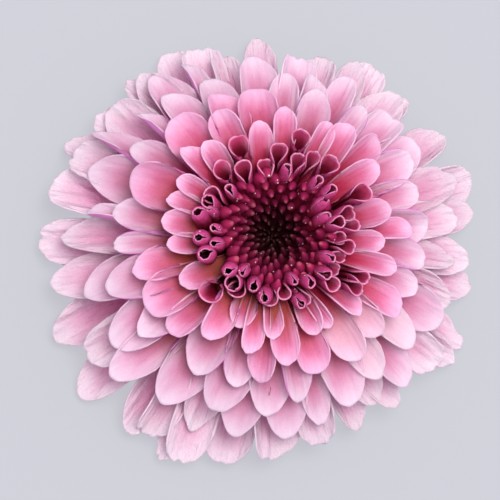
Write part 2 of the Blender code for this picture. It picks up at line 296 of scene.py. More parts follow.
# Tips that the picture shows as more than plain rounds; the rolled ones have their turn in radians
NOTCHED_PX = ((324, 58), (168, 52), (321, 446), (222, 463), (108, 106), (297, 60),
              (39, 241), (178, 463), (51, 190), (270, 459), (220, 54), (374, 68))
POINTED_PX = ((257, 40), (284, 107), (92, 135), (379, 335),
              (281, 141), (358, 63), (361, 430), (321, 424))
FOLDED_PX = ((444, 135), (65, 143), (185, 63), (137, 116), (88, 216), (195, 51), (144, 434))
BROWN_PX = ((257, 40), (78, 397), (394, 406), (324, 58), (108, 106), (321, 446))
PALE_PX = ((411, 345), (379, 335), (377, 376), (358, 360))
ROLLED_PX = {(137, 116): -0.95, (88, 216): -0.8, (92, 135): -0.7,
             (185, 63): -0.6, (65, 143): -0.5}
# Where a ray meets a whorl is found by guesses of its height (m), each half the way to the next
FIRST_GUESS_Z = 0.012
GUESSES = 60


def height_at(profile, radius):
    """Height of a profile at a radius, both in mm, by straight stretches."""
    if radius <= profile[0][0]:
        return profile[0][1]
    for (r0, z0), (r1, z1) in zip(profile, profile[1:]):
        if radius <= r1:
            return z0 + (z1 - z0) * (radius - r0) / (r1 - r0)
    return profile[-1][1]


def on_whorl(x_px, y_px, profile):
    """Azimuth and radius (mm) where the ray through a picture point meets a whorl."""
    ray = -lens * LENS_DISTANCE
    ray += right * ((x_px - PICTURE_PX / 2) / px_per_m)
    ray += up * ((PICTURE_PX / 2 - y_px) / px_per_m)
    z = FIRST_GUESS_Z
    for _ in range(GUESSES):
        spot = eye + ray * ((z - eye.z) / ray.z)
        radius = math.hypot(spot.x, spot.y) / MM
        z = 0.5 * z + 0.5 * height_at(profile, radius) * MM
    return math.atan2(spot.y, spot.x), radius


def apart(a, b):
    """The angle between two azimuths."""
    return abs((a - b + math.pi) % (2 * math.pi) - math.pi)


ranked = []
for x_px, y_px, w_px in TIPS_PX:
    azimuth, radius = on_whorl(x_px, y_px, DOME)
    ranked.append((radius, azimuth, x_px, y_px, w_px))
ranked.sort(reverse=True)
members = [[] for _ in WHORLS]
for radius, azimuth, x_px, y_px, w_px in ranked:
    chosen = SEPARATE_WHORLS + sum(radius < least for least in LEAST_TIP_RADII)
    for level in reversed(range(SEPARATE_WHORLS)):
        crowded = any(apart(other[0], azimuth) < LEAST_SPACING for other in members[level])
        if len(members[level]) < SEPARATE_MOST and not crowded:
            chosen = level
    azimuth, radius = on_whorl(x_px, y_px, WHORLS[chosen])
    members[chosen].append((azimuth, radius, w_px / px_per_m / MM, (x_px, y_px)))


# Ray florets of the three outer whorls: soft straps, pale lilac-pink, laid out and down. Each is
# a thin blade that is rolled to a tube at its foot and opens to a shallow boat, with wrinkles and
# a blunt, pointed or nicked tip. They stand singly on the receptacle.
OUTER_THICK = 0.00026
# A floret's full width over the width that is seen, because it is rolled and lies aslant
OUTER_WIDER = 1.10


def smooth(value, low, high):
    """0 below low, 1 above high, smooth between."""
    share = min(1.0, max(0.0, (value - low) / (high - low)))
    return share * share * (3 - 2 * share)


def curve_at(profile, radius):
    """Height and slope of a profile, drawn as a smooth curve through its points (mm)."""
    count = len(profile)
    i = 0
    while i < count - 2 and radius > profile[i + 1][0]:
        i += 1

    def lean(k):
        a = profile[max(k - 1, 0)]
        b = profile[min(k + 1, count - 1)]
        return (b[1] - a[1]) / (b[0] - a[0])

    (r0, z0), (r1, z1) = profile[i], profile[i + 1]
    span = r1 - r0
    s = min(1.0, max(0.0, (radius - r0) / span))
    m0 = lean(i) * span
    m1 = lean(i + 1) * span
    height = ((2 * s - 3) * s * s + 1) * z0 + ((s - 2) * s + 1) * s * m0
    height += (3 - 2 * s) * s * s * z1 + (s - 1) * s * s * m1
    slope = (6 * s * s - 6 * s) * (z0 - z1) + (3 * s * s - 4 * s + 1) * m0
    slope += (3 * s * s - 2 * s) * m1
    return height, slope / span


# A plain floret. Its turns are the angles that it is rolled through across, in radians: tube at
# the foot, turn where it is open. Depths are in mm, and what says where is a share of its length.
# Its rows of points crowd towards the tip by a power.
LEAST_TURN = 0.05
CREASE_WIDE = 0.16
ROWS_TO_TIP = 1.25
PLAIN_BLADE = dict(
    cols=14, rows=24, opens=(0.05, 0.42), tube=3.8, turn=0.4, foot=0.45, widens=0.05, widest=0.66,
    crease=0.0, folds=0.0, fold_count=3, crumple=0.0, rim=0.0, wave=0.0, hood=0.0, lift=0.0,
    sway=0.0, roll=0.0, twist=0.0, cap=1.0, power=2.0, notches=(), ragged=0.0, domed=0.0,
    dome_from=0.8, sink=0.0, low_foot=0.75, tone=0.5, stain=0.0,
)


def blade(shape, profile, azimuth, reach, width, **changes):
    """Adds one floret to a bmesh: a grid laid along a whorl profile and rolled across."""
    form = {**PLAIN_BLADE, **changes}
    layers = shape.verts.layers.float_color
    petal = layers.get("petal") or layers.new("petal")
    grid = bmesh.ops.create_grid(
        shape, x_segments=form["cols"], y_segments=form["rows"], size=1.0)
    outward = Vector((math.cos(azimuth), math.sin(azimuth), 0))
    side = Vector((math.sin(azimuth), -math.cos(azimuth), 0))
    start = profile[0][0]
    length = reach - start
    phase = 40 * form["tone"]
    final = math.copysign(max(abs(form["turn"]), LEAST_TURN), form["turn"])
    flat = width * abs(final) / (2 * math.sin(min(abs(final), math.pi) / 2))
    for spot in grid["verts"]:
        # The outline: u runs across from -1 to 1 and t along from 0 to 1, and the tip is cut back
        u = spot.co.x
        t = 1 - (1 - (spot.co.y + 1) / 2) ** ROWS_TO_TIP
        blunt = 1 - (1 - min(1, abs(u)) ** form["power"]) ** 0.5
        end = 1 - form["cap"] * width / 2 / length * blunt
        torn = math.sin(7 * u + phase) + math.sin(16 * u + 2 * phase)
        end -= form["ragged"] / length * torn * 0.5
        for place, depth, spread in form["notches"]:
            end -= depth / length * math.exp(-((u - place) / spread) ** 2)
        s = t * (1 + (end - 1) * smooth(t, 0.5, 1.0))
        radius = start + length * s
        height, slope = curve_at(profile, radius)
        # Rolled across: a tube at the foot, an open boat further out
        opened = smooth(s, *form["opens"])
        turn = form["tube"] + (final - form["tube"]) * opened
        turn = math.copysign(max(abs(turn), LEAST_TURN), turn)
        wide = form["foot"] + (1 - form["foot"]) * smooth(s, form["widens"], form["widest"])
        bend = flat * wide / turn
        across = bend * math.sin(u * turn / 2)
        rise = bend * (1 - math.cos(u * turn / 2))
        rise *= 1 - form["low_foot"] * (1 - smooth(s, 0.5, 0.86))
        # A young floret's mouth closes like a dome
        shut = min(1.0, max(0.0, s - form["dome_from"]) / (1.0 - form["dome_from"]))
        shut = 1 - form["domed"] * (1 - (1 - shut * shut) ** 0.5)
        across *= shut
        rise = bend + (rise - bend) * shut
        # The free part's midrib crease, long folds, wrinkles, rims and raised end
        free = smooth(s, 0.25, 0.8)
        rise -= form["sink"] * free * bend * (1 - math.cos(turn / 2))
        rise -= form["crease"] * free * math.exp(-(u / CREASE_WIDE) ** 2)
        rise += form["folds"] * free * math.cos(math.pi * form["fold_count"] * u)
        rise += form["crumple"] * free * free * (
            math.sin(8 * u + 5 * s + phase) * math.cos(13 * s + 3 * u + 2 * phase)
            + 0.6 * math.sin(15 * u - 7 * s + phase))
        rise += form["rim"] * free * abs(u) ** 5
        rise += form["wave"] * free * u * u * math.sin(9 * s * (1.2 + 0.4 * u) + 6 * form["tone"])
        rise += form["hood"] * smooth(s, 0.66, 1.02) ** 1.6
        rise += form["lift"] * s * s
        across += form["sway"] * 4 * s * (1 - s)
        # Turned about its length, then stood on the whorl's curve
        angle = (form["roll"] + form["twist"] * s) * smooth(s, 0.1, 0.7)
        across, rise = (
            across * math.cos(angle) - rise * math.sin(angle),
            across * math.sin(angle) + rise * math.cos(angle),
        )
        tilt = math.atan(slope)
        normal = -outward * math.sin(tilt) + Vector((0, 0, math.cos(tilt)))
        middle = outward * radius + Vector((0, 0, height))
        spot.co = axis + (middle + side * across + normal * rise) * MM
        spot[petal] = (form["tone"], s, (u + 1) / 2, form["stain"])


def piece(name, shape, looks, nodes):
    """A shown piece from a bmesh: it rides on the head and stands for CAD nodes."""
    mesh = bpy.data.meshes.new(name)
    shape.to_mesh(mesh)
    shape.free()
    mesh.shade_smooth()
    for look in looks:
        mesh.materials.append(look.material)
    made = bpy.data.objects.new(name, mesh)
    bpy.context.scene.collection.objects.link(made)
    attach(made, "root")
    if nodes:
        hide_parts(*nodes)
    return made


def thicken(made, thick, rim=0):
    """Gives a blade its thickness downwards, with the second look on its back."""
    wall = made.modifiers.new("blade_thickness", "SOLIDIFY")
    wall.thickness = thick
    wall.offset = -1.0
    wall.use_even_offset = False
    wall.material_offset = 1
    wall.material_offset_rim = rim


def petal_places(look):
    """What a petal's point knows: its tone, its share along and across, and its stain."""
    seen = look.node("ShaderNodeAttribute", {"attribute_name": "petal"}, {})
    parts = look.node("ShaderNodeSeparateColor", {}, {"Color": seen["Color"]})
    return parts["Red"], parts["Green"], parts["Blue"], seen["Alpha"]


GLANDS_PER_M = 950.0
GLAND_COLOUR = (0.90, 0.78, 0.78)


def glands(look, share):
    """Tiny pale gland dots, on a share of the cells of a cell pattern about 1 mm wide."""
    cells = look.node("ShaderNodeTexVoronoi", {}, {"Vector": look.place(), "Scale": GLANDS_PER_M})
    pick = look.node("ShaderNodeSeparateColor", {}, {"Color": cells["Color"]})["Red"]
    return (1 - look.ramp(cells["Distance"], 0.07, 0.14)) * (pick > 1 - share)


OLIVE_COLOUR = (0.27, 0.16, 0.045)
BLEACHED_COLOUR = (0.88, 0.62, 0.70)
BROWN_COLOUR = (0.40, 0.17, 0.12)


def petal_look(name, tip, body, throat, rim, clears, roughness, veins=0.08, mottle=0.08,
               olive=0.0, dotted=0.0, wrinkle=0.3, through=0.2):
    """A floret's skin: from throat to tip along the blade, a margin that is a painted highlight on
    the faces, and fine long veins.

    The throat's colour clears between two shares of the length, and rim is a colour and how
    much of it the margin takes: a painted highlight on the faces, the margin's own colour on
    the backs and the bracts.
    """
    throat_end, body_from = clears
    margin_and_highlight_colour, rim_share = rim
    look = Look(name, Roughness=roughness, Subsurface_Weight=through, Subsurface_Scale=0.0014,
                Subsurface_Radius=(1.0, 0.6, 0.8), Specular_IOR_Level=0.12)
    # Long streaks, broad crinkles, blotches and a fine cell grain whose light specks are painted
    # glints
    tone, along, across, stain = petal_places(look)
    edge = abs(across * 2 - 1)
    streaks = look.noise(look.combined(across * 17, along * 2.6, tone * 40), 1.0, 3.0, 0.55)
    crinkle = look.noise(look.combined(across * 5, along * 5, tone * 60), 1.0, 4.0, 0.6)
    blotch = look.noise(look.place(), 420.0, 3.0, 0.6)
    cell_grain_and_glint = look.noise(look.place(), 3600.0, 1.0)
    # Throat to body to tip, the throat's deep pigment darkened further by painted shade, painted
    # shade down the cupped middle, and olive on one side of the head
    drift = along + (crinkle - 0.5) * 0.16
    colour = look.mix(look.ramp(drift, throat_end, body_from), throat, body)
    colour = look.mix(look.ramp(drift, body_from - 0.08, 1.0), colour, tip)
    painted_cup_shade = (1 - look.ramp(edge, 0.0, 0.6)) * (1 - look.ramp(along, 0.72, 0.98))
    colour = look.mix(painted_cup_shade * 0.36, colour, throat)
    if olive:
        spot = look.node("ShaderNodeSeparateXYZ", {}, {"Vector": look.place()})
        near = look.ramp(0 - spot["X"] - spot["Y"], 0.006, 0.016)
        deep = 1 - look.ramp(along, throat_end - 0.1, body_from)
        colour = look.mix(near * deep * olive, colour, OLIVE_COLOUR)
    # The margin (a painted highlight on the faces), a painted highlight on the sides of each cup,
    # and bleached ends
    margin = look.ramp(edge, 0.88, 0.99) * look.ramp(along, 0.35, 0.8)
    colour = look.mix(margin * rim_share, colour, margin_and_highlight_colour)
    painted_side_highlight = look.ramp(edge, 0.2, 0.9) * look.ramp(along, 0.45, 0.8)
    colour = look.mix(painted_side_highlight * 0.7, colour, tip)
    bleached = look.ramp(0 - stain, 0.2, 0.8) * look.ramp(along, 0.4, 0.8)
    colour = look.mix(bleached * 0.5, colour, BLEACHED_COLOUR)
    # Light and dark, with painted glints in the cell grain, brown spots at stained tips, glands,
    # and the relief
    shade = (1 + (streaks - 0.5) * veins + (blotch - 0.5) * mottle + (tone - 0.5) * 0.14
             + (crinkle - 0.5) * mottle + (cell_grain_and_glint - 0.5) * 0.16)
    tinted = look.tint(colour, shade)
    browned = look.ramp(stain * 0.8 + (blotch - 0.5) * 1.2 + (along - 1) * 26, 0.4, 0.8)
    tinted = look.mix(browned * 0.55, tinted, BROWN_COLOUR)
    if dotted:
        tinted = look.mix(glands(look, dotted), tinted, GLAND_COLOUR)
    ridges = look.node("ShaderNodeMath", {"operation": "SINE"}, {0: across * 44})["Value"]
    relief = ridges * 0.10 + streaks * 0.5 + crinkle * 3 * wrinkle + cell_grain_and_glint * 0.10
    look.feed(Base_Color=tinted, Roughness=roughness + (streaks - 0.5) * 0.2,
              Normal=look.bump(relief, 0.7, 0.00030))
    return look


outer_face = petal_look(
    "outer_floret_face",
    tip=(0.78, 0.60, 0.68), body=(0.74, 0.39, 0.53), throat=(0.64, 0.16, 0.32),
    rim=((0.80, 0.64, 0.72), 0.4), clears=(0.46, 0.84), roughness=0.6, veins=0.10, wrinkle=1.7)
outer_back = petal_look(
    "outer_floret_back",
    tip=(0.70, 0.38, 0.60), body=(0.66, 0.30, 0.54), throat=(0.52, 0.24, 0.34),
    rim=((0.70, 0.30, 0.48), 0.4), clears=(0.2, 0.6), roughness=0.6, veins=0.12, wrinkle=0.8)


def floret_dice(level, i):
    """Each floret's own chances, the same in every run."""
    return random.Random(100 * level + i)


def tip_form(px, dice, notched, pointed):
    """What a floret's tip is like: as the picture shows, else with these shares of each kind."""
    form = {"ragged": dice.uniform(0.05, 0.16)}
    chance = dice.random()
    if px in NOTCHED_PX or chance < notched:
        form["notches"] = (
            (dice.uniform(-0.1, 0.3), dice.uniform(0.3, 0.7), 0.10),
            (dice.uniform(-0.6, -0.35), dice.uniform(0.1, 0.3), 0.10),
        )
        form["power"] = dice.uniform(1.9, 2.3)
        form["cap"] = dice.uniform(1.5, 1.9)
    elif px in POINTED_PX or chance < notched + pointed:
        form["power"] = dice.uniform(1.45, 1.65)
        form["cap"] = dice.uniform(2.7, 3.2)
    else:
        form["power"] = dice.uniform(1.5, 1.8)
        form["cap"] = dice.uniform(2.4, 3.2)
    if px in BROWN_PX:
        form["stain"] = 1.0
    elif px in PALE_PX:
        form["stain"] = -1.0
    elif dice.random() < 0.2:
        form["stain"] = dice.uniform(0.3, 0.7)
    form["roll"] = ROLLED_PX.get(px, dice.uniform(-0.3, 0.3))
    return form


for level in range(SEPARATE_WHORLS):
    for i, (azimuth, reach, width, px) in enumerate(sorted(members[level])):
        name = f"outer_floret_{WHORL_LETTERS[level]}{i + 1:02d}"
        dice = floret_dice(level, i)
        form = tip_form(px, dice, notched=0.25, pointed=0.15)
        folded = px in FOLDED_PX
        shape = bmesh.new()
        blade(
            shape, WHORLS[level], azimuth, reach, width * OUTER_WIDER, cols=22, rows=34,
            turn=2.6 if folded else dice.uniform(1.3, 2.1), tone=dice.random(), sink=0.15,
            crease=dice.uniform(0.1, 0.35), folds=dice.uniform(0.04, 0.17),
            crumple=dice.uniform(0.08, 0.28), fold_count=dice.choice((2, 3)),
            rim=dice.uniform(-0.1, 0.4), wave=dice.uniform(0.05, 0.3),
            hood=dice.uniform(-0.2, 1.2), lift=dice.uniform(-0.2, 0.5),
            sway=dice.uniform(-0.8, 0.8), twist=dice.uniform(-0.25, 0.25), **form)
        made = piece(name + "_blade", shape, (outer_face, outer_back), (name,))
        thicken(made, OUTER_THICK)


# Ray florets of the middle whorls: oval boats with raised margins, paler at the lit end and rose
# in the throat, with a magenta back. They stand on the receptacle above the outer ones, and the
# florets of one whorl are one piece.
MIDDLE_WHORLS = (3, 4, 5)
MAGENTA_RIMS = 5
MIDDLE_THICK = 0.00026
MIDDLE_WIDER = 1.10
middle_face = petal_look(
    "middle_floret_face",
    tip=(0.79, 0.57, 0.69), body=(0.69, 0.31, 0.47), throat=(0.42, 0.045, 0.11),
    rim=((0.84, 0.60, 0.73), 0.5), clears=(0.50, 0.86), roughness=0.52, veins=0.07, olive=0.35)
middle_back = petal_look(
    "middle_floret_back",
    tip=(0.70, 0.26, 0.54), body=(0.62, 0.17, 0.42), throat=(0.46, 0.06, 0.18),
    rim=((0.68, 0.20, 0.44), 0.5), clears=(0.3, 0.7), roughness=0.55, veins=0.12, dotted=0.1)

for level in MIDDLE_WHORLS:
    shape = bmesh.new()
    for i, (azimuth, reach, width, px) in enumerate(sorted(members[level])):
        dice = floret_dice(level, i)
        form = tip_form(px, dice, notched=0.05, pointed=0.15)
        folded = px in FOLDED_PX
        blade(
            shape, WHORLS[level], azimuth, reach, width * MIDDLE_WIDER, cols=18, rows=30,
            turn=2.9 if folded else dice.uniform(2.1, 2.7), tone=dice.random(), sink=0.18,
            opens=(0.15, 0.72), widest=0.72, crease=dice.uniform(0.1, 0.4),
            folds=dice.uniform(0.02, 0.12), fold_count=dice.choice((1.5, 2, 3)),
            crumple=dice.uniform(0.0, 0.05), rim=dice.uniform(0.0, 0.5),
            wave=dice.uniform(0.05, 0.25), hood=dice.uniform(0.4, 1.4),
            lift=dice.uniform(-0.3, 0.5), sway=dice.uniform(-0.6, 0.6),
            twist=dice.uniform(-0.2, 0.2), **form)
    name = f"whorl_{WHORL_LETTERS[level]}"
    made = piece(name + "_florets", shape, (middle_face, middle_back), (name,))
    thicken(made, MIDDLE_THICK, rim=1 if level == MAGENTA_RIMS else 0)


# Ray florets of the inner whorls: narrow spoons and deep gutters whose rims catch the light,
# with a crimson throat and a saturated back that carries tiny pale glands. They stand on the
# receptacle's shoulder.
INNER_WHORLS = (6, 7)
INNER_THICK = 0.00025
INNER_WIDER = 1.08
INNER_BLUNTER = 0.85
inner_face = petal_look(
    "inner_floret_face",
    tip=(0.81, 0.43, 0.62), body=(0.70, 0.20, 0.37), throat=(0.46, 0.024, 0.07),
    rim=((0.86, 0.54, 0.71), 0.6), clears=(0.53, 0.87), roughness=0.48, veins=0.07, olive=0.4)
inner_back = petal_look(
    "inner_floret_back",
    tip=(0.66, 0.17, 0.43), body=(0.58, 0.09, 0.30), throat=(0.40, 0.03, 0.12),
    rim=((0.74, 0.30, 0.54), 0.4), clears=(0.3, 0.75), roughness=0.5, veins=0.1, dotted=0.2)

for level in INNER_WHORLS:
    shape = bmesh.new()
    for i, (azimuth, reach, width, px) in enumerate(sorted(members[level])):
        dice = floret_dice(level, i)
        form = tip_form(px, dice, notched=0.0, pointed=0.2)
        form["cap"] *= INNER_BLUNTER
        blade(
            shape, WHORLS[level], azimuth, reach, width * INNER_WIDER, cols=16, rows=28,
            opens=(0.35, 0.9), widest=0.78, turn=dice.uniform(2.5, 3.3), sink=0.15,
            tone=dice.random(), foot=0.5, crease=dice.uniform(0.0, 0.1),
            rim=dice.uniform(-0.2, 0.1), wave=dice.uniform(0.0, 0.15),
            hood=dice.uniform(0.4, 1.1), lift=dice.uniform(-0.3, 0.4),
            sway=dice.uniform(-0.4, 0.4), twist=dice.uniform(-0.2, 0.2), **form)
    name = f"whorl_{WHORL_LETTERS[level]}"
    made = piece(name + "_florets", shape, (inner_face, inner_back), (name,))
    thicken(made, INNER_THICK)


# The innermost open florets: short quills that stand steeply round the buds, rolled nearly shut,
# with a slit on the inner side and a mouth at the end whose lips catch the light.
QUILL_WHORL = 8
QUILL_THICK = 0.00024
QUILL_WIDER = 1.05
# Broad quills are more open than narrow ones: these widths in mm are the ends of the scale
NARROW_QUILL = 2.4
BROAD_QUILL = 4.0
QUILL_DROP = 0.4
# Radius and height in mm along a quill, from its mouth
QUILL_RISE = ((-5.2, -8.8), (-4.3, -5.8), (-3.1, -3.2), (-1.6, -1.2), (0, 0), (2, 0.8))
# The quills' near black throats are their crimson darkened by painted shade inside the rolled
# tubes
quill_face = petal_look(
    "quill_face",
    tip=(0.78, 0.28, 0.47), body=(0.56, 0.06, 0.17), throat=(0.16, 0.005, 0.020),
    rim=((0.80, 0.34, 0.52), 0.5), clears=(0.55, 0.97), roughness=0.45, veins=0.06)
quill_back = petal_look(
    "quill_back",
    tip=(0.52, 0.06, 0.215), body=(0.37, 0.023, 0.10), throat=(0.18, 0.006, 0.028),
    rim=((0.64, 0.16, 0.35), 0.4), clears=(0.40, 0.90), roughness=0.5, veins=0.25, mottle=0.25,
    dotted=0.6, wrinkle=0.8)

shape = bmesh.new()
for i, (azimuth, reach, width, _) in enumerate(sorted(members[QUILL_WHORL])):
    dice = floret_dice(QUILL_WHORL, i)
    broad = smooth(width, NARROW_QUILL, BROAD_QUILL)
    top = height_at(WHORLS[QUILL_WHORL], reach) - QUILL_DROP
    profile = [(reach + ahead, top + drop) for ahead, drop in QUILL_RISE]
    blade(
        shape, profile, azimuth, reach, width * QUILL_WIDER, cols=18, rows=26,
        opens=(0.55 - 0.15 * broad, 1.02), tube=5.8, turn=dice.uniform(3.9, 4.7) - 1.4 * broad,
        tone=dice.random(), foot=0.55, widens=0.1, widest=0.8, hood=dice.uniform(0.2, 0.8),
        sway=dice.uniform(-0.3, 0.3), lift=dice.uniform(-0.3, 0.3), power=1.8,
        cap=dice.uniform(1.0, 1.6), roll=dice.uniform(-0.4, 0.4), ragged=0.08,
        domed=0.5 - 0.3 * broad, low_foot=0.0,
        notches=((dice.uniform(-0.4, 0.4), dice.uniform(0.1, 0.3), 0.15),))
made = piece("whorl_i_quills", shape, (quill_face, quill_back), ("whorl_i",))
thicken(made, QUILL_THICK)


# The ring between quills and buds: florets that are just opening, short curled tubes with a slit
# or a small mouth and the quills' skin. They stand on the receptacle, among the outer buds.
CURL_WIDER = 1.02
CURL_PAST = 0.5
# Radius and height in mm: where the curls' mouths lie, and along a curl from its mouth
CURL_TOPS = ((8, 25.0), (10, 26.2), (13, 27.2), (16, 27.6))
CURL_RISE = ((-1.9, -8.5), (-1.6, -6.0), (-1.2, -3.6), (-0.7, -1.7), (0, -0.1), (1, 1.0))
# Curls, read one by one: picture x, y and seen width, in picture px, then how far the tube has
# opened
CURLS_PX = (
    (193, 219, 15, 0.25), (193, 238, 15, 0.2), (198, 258, 17, 0.3), (222, 272, 14, 0.2),
    (233, 291, 17, 0.6), (252, 291, 13, 0.3), (267, 303, 14, 0.25), (309, 288, 12, 0.3),
    (304, 306, 12, 0.3), (332, 262, 12, 0.2), (330, 274, 12, 0.4), (333, 188, 13, 0.3),
    (327, 203, 12, 0.2), (318, 178, 11, 0.4), (284, 166, 11, 0.3), (229, 186, 10, 0.4),
    (207, 211, 9, 0.15), (212, 226, 9, 0.3), (210, 245, 12, 0.2), (342, 222, 14, 0.5),
    (328, 220, 10, 0.2), (295, 284, 10, 0.2), (206, 196, 15, 0.5), (240, 276, 11, 0.15),
)
shape = bmesh.new()
for x_px, y_px, w_px, opened in CURLS_PX:
    dice = random.Random(x_px * PICTURE_PX + y_px)
    width = w_px / px_per_m / MM * CURL_WIDER
    azimuth, reach = on_whorl(x_px, y_px, CURL_TOPS)
    top = height_at(CURL_TOPS, reach) + dice.uniform(-0.3, 0.3)
    profile = [(reach + ahead, top + drop) for ahead, drop in CURL_RISE]
    blade(
        shape, profile, azimuth, reach + CURL_PAST, width, cols=18, rows=22,
        opens=(0.5, 1.0), tube=6.6, turn=6.35 - 1.9 * opened, low_foot=0.0,
        tone=dice.random(), foot=0.8, widens=0.0, widest=0.5,
        power=2.0, cap=0.02 + 0.7 * opened, domed=0.98 - 0.9 * opened,
        dome_from=0.5, roll=dice.uniform(-0.7, 0.7), ragged=0.01 + 0.10 * opened,
        crumple=0.05, sway=dice.uniform(-0.15, 0.15))
made = piece("centre_curls", shape, (quill_face, quill_back), ())
thicken(made, QUILL_THICK)


# Closed buds of the centre, florets that haven't opened yet: clubs that lean in over the sunk
# eye, largest outside, magenta and waxy, with painted shade darkening their feet, and nearly black
# at the eye, where dark pigment is deepened by painted shade of the pit. They grow from a hollow
# cushion, the receptacle's top, that is painted near black as shade.
BUD_COUNT = 130
BUD_REACH = 9.7
BUD_LENGTH = 4.2
BUD_THICK = 0.44
BUD_THICKER_OUTSIDE = 0.058
BUD_GROOVE = 0.3
BUD_SEED = 7
KNEE_BELOW_TIP = 1.5
SPIRAL_POWER = 1 / 1.4
GOLDEN_ANGLE = math.radians(137.508)
# Radius and height in mm of the surface that the buds' tips make
BUD_TIPS = ((0, 17.8), (2, 18.9), (4, 21.0), (6, 23.1), (8, 24.9), (10.4, 26.2))
# Colours at the eye and at the ring's outside, of a bud's foot and of its end; the dark feet are
# painted shade between the buds, and the near black at the eye is dark pigment deepened by painted
# shade of the pit
EYE_FOOT_SHADE = (0.006, 0.0006, 0.001)
RING_FOOT_SHADE = (0.13, 0.003, 0.018)
EYE_END_PIGMENT_AND_SHADE = (0.018, 0.002, 0.003)
RING_HIGH = (0.35, 0.016, 0.088)
BUD_TIP_COLOUR = (0.58, 0.24, 0.20)
BUD_GLAND_COLOUR = (0.90, 0.80, 0.78)

bud_look = Look("bud_magenta", Roughness=0.45, Subsurface_Weight=0.06, Subsurface_Scale=0.0008,
                Subsurface_Radius=(1.0, 0.3, 0.5), Specular_IOR_Level=0.16)
tone, rise, outness, _ = petal_places(bud_look)
grain = bud_look.noise(bud_look.place(), 1500.0, 3.0)
# Darker towards each bud's foot, and near black at the eye: painted shade
low = bud_look.mix(bud_look.ramp(outness, 0.2, 1.1), EYE_FOOT_SHADE, RING_FOOT_SHADE)
high = bud_look.mix(bud_look.ramp(outness, 0.18, 1.0), EYE_END_PIGMENT_AND_SHADE, RING_HIGH)
colour = bud_look.mix(bud_look.ramp(rise + (grain - 0.5) * 0.2, 0.4, 0.9), low, high)
# The outer buds' ends take a brownish colour of their own, lightened as a painted highlight
tip_brown_and_highlight = bud_look.ramp(rise + (tone - 0.5) * 0.1, 0.93, 1.0)
colour = bud_look.mix(tip_brown_and_highlight * outness * 0.22, colour, BUD_TIP_COLOUR)
dots = glands(bud_look, 0.6) * bud_look.ramp(outness, 0.2, 0.5)
colour = bud_look.mix(dots, colour, BUD_GLAND_COLOUR)
shade = 1 + (tone - 0.5) * 0.35 + (grain - 0.5) * 0.2
bud_look.feed(Base_Color=bud_look.tint(colour, shade), Roughness=0.38 + grain * 0.2,
              Normal=bud_look.bump(grain, 0.35, 0.00008))

CUSHION_RADIUS = 0.0084
CUSHION_DEPTH = 0.0062
CUSHION_MIDDLE_Z = 0.0190
CUSHION_WALL = 0.0003
# The cushion's near black and deep red are painted shade of the pit under the buds
CUSHION_SHADE_BLACK = (0.004, 0.0008, 0.001)
CUSHION_SHADE_RED = (0.020, 0.002, 0.004)
MERGE = 0.000001
cushion_look = Look("cushion_painted_shade", Roughness=0.9, Specular_IOR_Level=0.0)
pores = cushion_look.noise(cushion_look.place(), 900.0, 3.0)
cushion_look.feed(Base_Color=cushion_look.mix(pores, CUSHION_SHADE_BLACK, CUSHION_SHADE_RED),
                  Normal=cushion_look.bump(pores, 0.5, 0.0002))
shape = bmesh.new()
cushion = bmesh.ops.create_cone(
    shape, cap_ends=False, segments=48, radius1=0.0, radius2=CUSHION_RADIUS, depth=CUSHION_DEPTH)
middle = axis + Vector((0, 0, CUSHION_MIDDLE_Z))
bmesh.ops.translate(shape, verts=cushion["verts"], vec=middle)
bmesh.ops.remove_doubles(shape, verts=shape.verts, dist=MERGE)
made = piece("centre_cushion", shape, (cushion_look, cushion_look), ())
thicken(made, CUSHION_WALL)

shape = bmesh.new()
petal = shape.verts.layers.float_color.new("petal")
dice = random.Random(BUD_SEED)
for k in range(BUD_COUNT):
    reach = BUD_REACH * ((k + 0.7) / BUD_COUNT) ** SPIRAL_POWER
    turn = k * GOLDEN_ANGLE
    tip_z = height_at(BUD_TIPS, reach) + dice.uniform(-0.3, 0.3)
    thick = (BUD_THICK + BUD_THICKER_OUTSIDE * reach) * dice.uniform(0.86, 1.14)
    turn += dice.uniform(-0.3, 0.3) / (reach + 1)
    aslant = dice.uniform(-0.35, 0.35)
    outward = Vector((math.cos(turn), math.sin(turn), 0))
    side = Vector((-math.sin(turn), math.cos(turn), 0))
    knee_z = tip_z - KNEE_BELOW_TIP + dice.uniform(-0.2, 0.2)
    foot = outward * (reach * 0.68 + 0.1) + Vector((0, 0, tip_z - BUD_LENGTH))
    knee = outward * (reach * 1.08 + 0.9) + Vector((0, 0, knee_z))
    tip = outward * (reach * 0.94 - 0.75) + side * aslant + Vector((0, 0, tip_z + 0.1))
    tone = dice.random()
    club = bmesh.ops.create_uvsphere(shape, u_segments=10, v_segments=9, radius=1.0)
    for spot in club["verts"]:
        # A ball drawn out along a bent spine; h is the share of the way up it
        x, y, z = spot.co
        h = ((z + 1) / 2) ** 0.8
        spine = foot * (1 - h) ** 2 + knee * (2 * h * (1 - h)) + tip * h * h
        ahead = ((knee - foot) * (1 - h) + (tip - knee) * h).normalized()
        other = side.cross(ahead)
        around = math.atan2(y, x)
        groove = BUD_GROOVE * math.exp(-(math.atan2(y, -x) / 0.4) ** 2)
        groove = 1 - groove * smooth(h, 0.5, 0.9)
        belly = min(1.0, 5 * math.hypot(x, y)) * (1.02 - ((h - 0.5) / 0.5) ** 4) ** 0.5
        belly *= 1 - 0.35 * smooth(h, 0.55, 1.0)
        out = thick * belly * groove
        spot.co = axis + (spine + (other * math.cos(around) + side * math.sin(around)) * out) * MM
        spot[petal] = (tone, h, reach / BUD_REACH, 0.0)
bmesh.ops.recalc_face_normals(shape, faces=shape.faces)
piece("centre_bud_clubs", shape, (bud_look,), ("centre_buds",))


